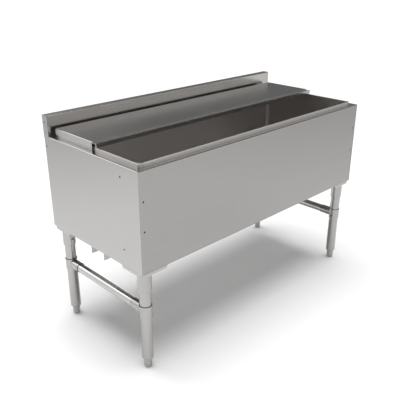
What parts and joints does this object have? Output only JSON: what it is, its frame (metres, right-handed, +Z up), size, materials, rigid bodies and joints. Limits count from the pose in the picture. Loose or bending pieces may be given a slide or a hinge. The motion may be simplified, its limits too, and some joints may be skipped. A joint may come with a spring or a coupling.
{
  "type": "bar sink with ice bin",
  "caption": "Free-standing stainless underbar ice bin on tube legs, with a low backsplash, a raised rim around the bin and a low cover that slides over its rear half.",
  "frame": {"origin": "on the floor under the middle of the cabinet, at the middle of the box around the part", "axes": "+X along the length to the operator's right, +Y from the operator to the wall, +Z up"},
  "size_m": [1.2192, 0.5334, 0.8282],
  "materials": {
    "cabinet_steel": "long grain satin",
    "bin_steel": "satin, with a soft grain",
    "cover_steel": "long grain satin",
    "glide_plastic": "moulded",
    "frame_steel": "mill finish",
    "tube_steel": "polished along the tube",
    "foot_steel": "turned",
    "seal_rubber": "dull",
    "drain_brass": "plated",
    "strainer_steel": "satin",
    "foam": "rigid foam"
  },
  "bodies": {
    "cabinet": {"front_panel": "cabinet_steel", "left_end_panel": "cabinet_steel", "right_end_panel": "cabinet_steel", "backsplash": "cabinet_steel", "back_panel": "cabinet_steel", "bottom_pan": "cabinet_steel", "bin_base": "bin_steel", "bin_front_side": "bin_steel", "bin_rear_side": "bin_steel", "bin_left_end": "bin_steel", "bin_right_end": "bin_steel", "under_channel": "frame_steel", "gusset_fl": "frame_steel", "gusset_fr": "frame_steel", "gusset_rl": "frame_steel", "gusset_rr": "frame_steel", "socket_fl": "frame_steel", "socket_fr": "frame_steel", "socket_rl": "frame_steel", "socket_rr": "frame_steel", "leg_fl": "tube_steel", "leg_fr": "tube_steel", "leg_rl": "tube_steel", "leg_rr": "tube_steel", "tee_fl": "tube_steel", "tee_fr": "tube_steel", "tee_rl": "tube_steel", "tee_rr": "tube_steel", "rail_left": "tube_steel", "rail_right": "tube_steel", "leg_plug_fl": "foot_steel", "leg_plug_fr": "foot_steel", "leg_plug_rl": "foot_steel", "leg_plug_rr": "foot_steel", "drain_gasket": "seal_rubber", "drain_body": "drain_brass", "drain_locknut": "drain_brass", "drain_nipple": "drain_brass", "drain_strainer": "strainer_steel", "foam_front": "foam", "foam_rear": "foam", "foam_left": "foam", "foam_right": "foam", "foam_floor": "foam"},
    "cover": {"cover_pan": "cover_steel", "cover_pull": "cover_steel", "cover_stiffener": "cover_steel", "glide_bracket_left": "cover_steel", "glide_bracket_right": "cover_steel", "glide_left": "glide_plastic", "glide_right": "glide_plastic"},
    "foot_fl": {"foot_fl": "foot_steel"},
    "foot_fr": {"foot_fr": "foot_steel"},
    "foot_rl": {"foot_rl": "foot_steel"},
    "foot_rr": {"foot_rr": "foot_steel"}
  },
  "joints": [
    {"name": "cover_slide", "type": "slide", "parent": "cabinet", "child": "cover", "axis": [0, -1, 0], "range_m": [0, 0.2304]},
    {"name": "foot_fl_screw", "type": "slide", "parent": "cabinet", "child": "foot_fl", "axis": [0, 0, -1], "range_m": [0, 0.0254]},
    {"name": "foot_fr_screw", "type": "slide", "parent": "cabinet", "child": "foot_fr", "axis": [0, 0, -1], "range_m": [0, 0.0254]},
    {"name": "foot_rl_screw", "type": "slide", "parent": "cabinet", "child": "foot_rl", "axis": [0, 0, -1], "range_m": [0, 0.0254]},
    {"name": "foot_rr_screw", "type": "slide", "parent": "cabinet", "child": "foot_rr", "axis": [0, 0, -1], "range_m": [0, 0.0254]}
  ]
}
